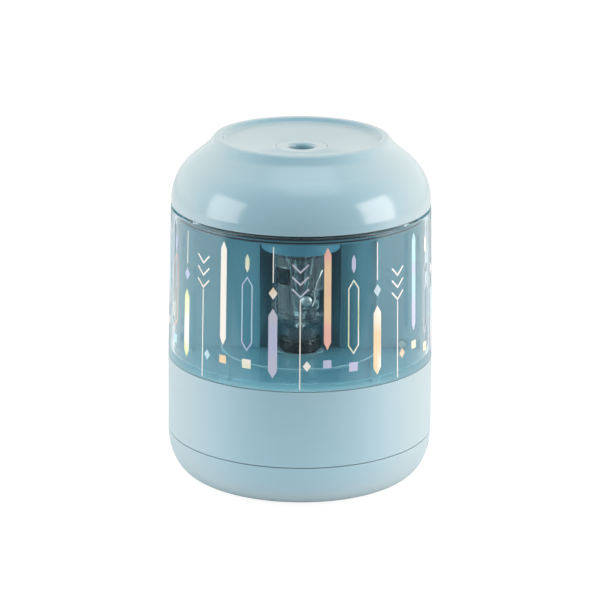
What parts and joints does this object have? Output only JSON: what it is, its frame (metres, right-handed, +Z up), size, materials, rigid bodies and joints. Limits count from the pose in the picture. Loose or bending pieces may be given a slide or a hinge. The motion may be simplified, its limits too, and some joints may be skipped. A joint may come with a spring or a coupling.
{
  "type": "desktop pencil sharpener",
  "caption": "Upright battery pencil sharpener: domed cap with a pencil hole, clear pull-out shavings drawer, helical cutter head, rear motor column and round base.",
  "frame": {"origin": "centre of the footprint, on the surface the feet stand on", "axes": "+Z up along the body's axis, -Y towards the front where the clear drawer pulls out, +X to the right seen from the front"},
  "size_m": [0.088, 0.088, 0.1145],
  "materials": {
    "gloss_blue": "glossy moulded pale blue",
    "satin_blue": "satin moulded pale blue",
    "panel_blue": "satin moulded grey-blue",
    "collar_teal": "moulded teal",
    "tinted_clear": "clear teal-tinted styrene",
    "clear_plastic": "clear polycarbonate",
    "white_plastic": "natural acetal",
    "black_plastic": "moulded black",
    "bush_plastic": "moulded pale teal",
    "rubber_grey": "matt grey rubber",
    "cell_jacket": "plain shrink sleeve",
    "zinc_steel": "zinc plated",
    "nickel_steel": "nickel plated",
    "tool_steel": "ground hardened steel",
    "brass": "cut brass",
    "board_green": "lacquered board"
  },
  "bodies": {
    "housing": {"bottom_cover": "satin_blue", "rubber_feet": "rubber_grey", "cover_screws": "zinc_steel", "base_housing": "satin_blue", "battery_box": "white_plastic", "battery_cells": "cell_jacket", "battery_contacts": "nickel_steel", "deck_bush": "bush_plastic", "gear_axle": "nickel_steel", "motor_can": "zinc_steel", "motor_end_cap": "black_plastic", "motor_clamp": "black_plastic", "inner_panel": "panel_blue", "rear_cover": "satin_blue", "column_screws": "zinc_steel", "top_plate": "panel_blue", "dust_seal": "rubber_grey", "ring_gear_collar": "collar_teal", "neck_bush": "bush_plastic", "cap": "gloss_blue", "cap_screws": "zinc_steel", "pencil_guide": "gloss_blue", "lever_pin": "nickel_steel", "lever_spring": "nickel_steel", "start_switch": "black_plastic", "control_board": "board_green"},
    "drawer": {"shavings_drawer": "tinted_clear", "drawer_magnet": "nickel_steel"},
    "cutter_head": {"drive_spindle": "nickel_steel", "spindle_clip": "black_plastic", "output_gear": "white_plastic", "carrier_hub": "black_plastic", "cutter_carrier": "clear_plastic", "cutter_axle": "nickel_steel", "carrier_screw": "nickel_steel", "retaining_spring": "nickel_steel"},
    "cutter": {"helical_cutter": "tool_steel", "cutter_pinion": "brass"},
    "compound": {"compound_gear": "white_plastic"},
    "rotor": {"motor_shaft": "nickel_steel", "motor_pinion": "brass"},
    "door": {"battery_door": "satin_blue"},
    "lever": {"start_lever": "white_plastic"}
  },
  "joints": [
    {"name": "drawer_slide", "type": "slide", "parent": "housing", "child": "drawer", "axis": [0, -1, 0], "range_m": [0, 0.06]},
    {"name": "head_spin", "type": "hinge", "parent": "housing", "child": "cutter_head", "pos_m": [0, 0, 0.045], "axis": [0, 0, 1], "continuous": true},
    {"name": "cutter_spin", "type": "hinge", "parent": "cutter_head", "child": "cutter", "pos_m": [0, 0.0081, 0.0791], "axis": [0, 0.1822, 0.9833], "continuous": true},
    {"name": "compound_spin", "type": "hinge", "parent": "housing", "child": "compound", "pos_m": [0.0059, 0.01579, 0.036], "axis": [0, 0, 1], "continuous": true},
    {"name": "motor_spin", "type": "hinge", "parent": "housing", "child": "rotor", "pos_m": [0, 0.028, 0.055], "axis": [0, 0, 1], "continuous": true},
    {"name": "battery_door_hinge", "type": "hinge", "parent": "housing", "child": "door", "pos_m": [0, 0.01415, 0.00165], "axis": [1, 0, 0], "range_deg": [0, 80]},
    {"name": "start_lever_tilt", "type": "hinge", "parent": "housing", "child": "lever", "pos_m": [0, 0.0114, 0.099], "axis": [1, 0, 0], "range_deg": [0, 7], "stiffness_Nm_per_rad": 0.02, "springref_deg": -5.73}
  ],
  "couplings": [
    {"joint": "cutter_spin", "follows": "head_spin", "ratio": -4.375},
    {"joint": "compound_spin", "follows": "head_spin", "ratio": -3.6667},
    {"joint": "motor_spin", "follows": "head_spin", "ratio": 14.667}
  ]
}
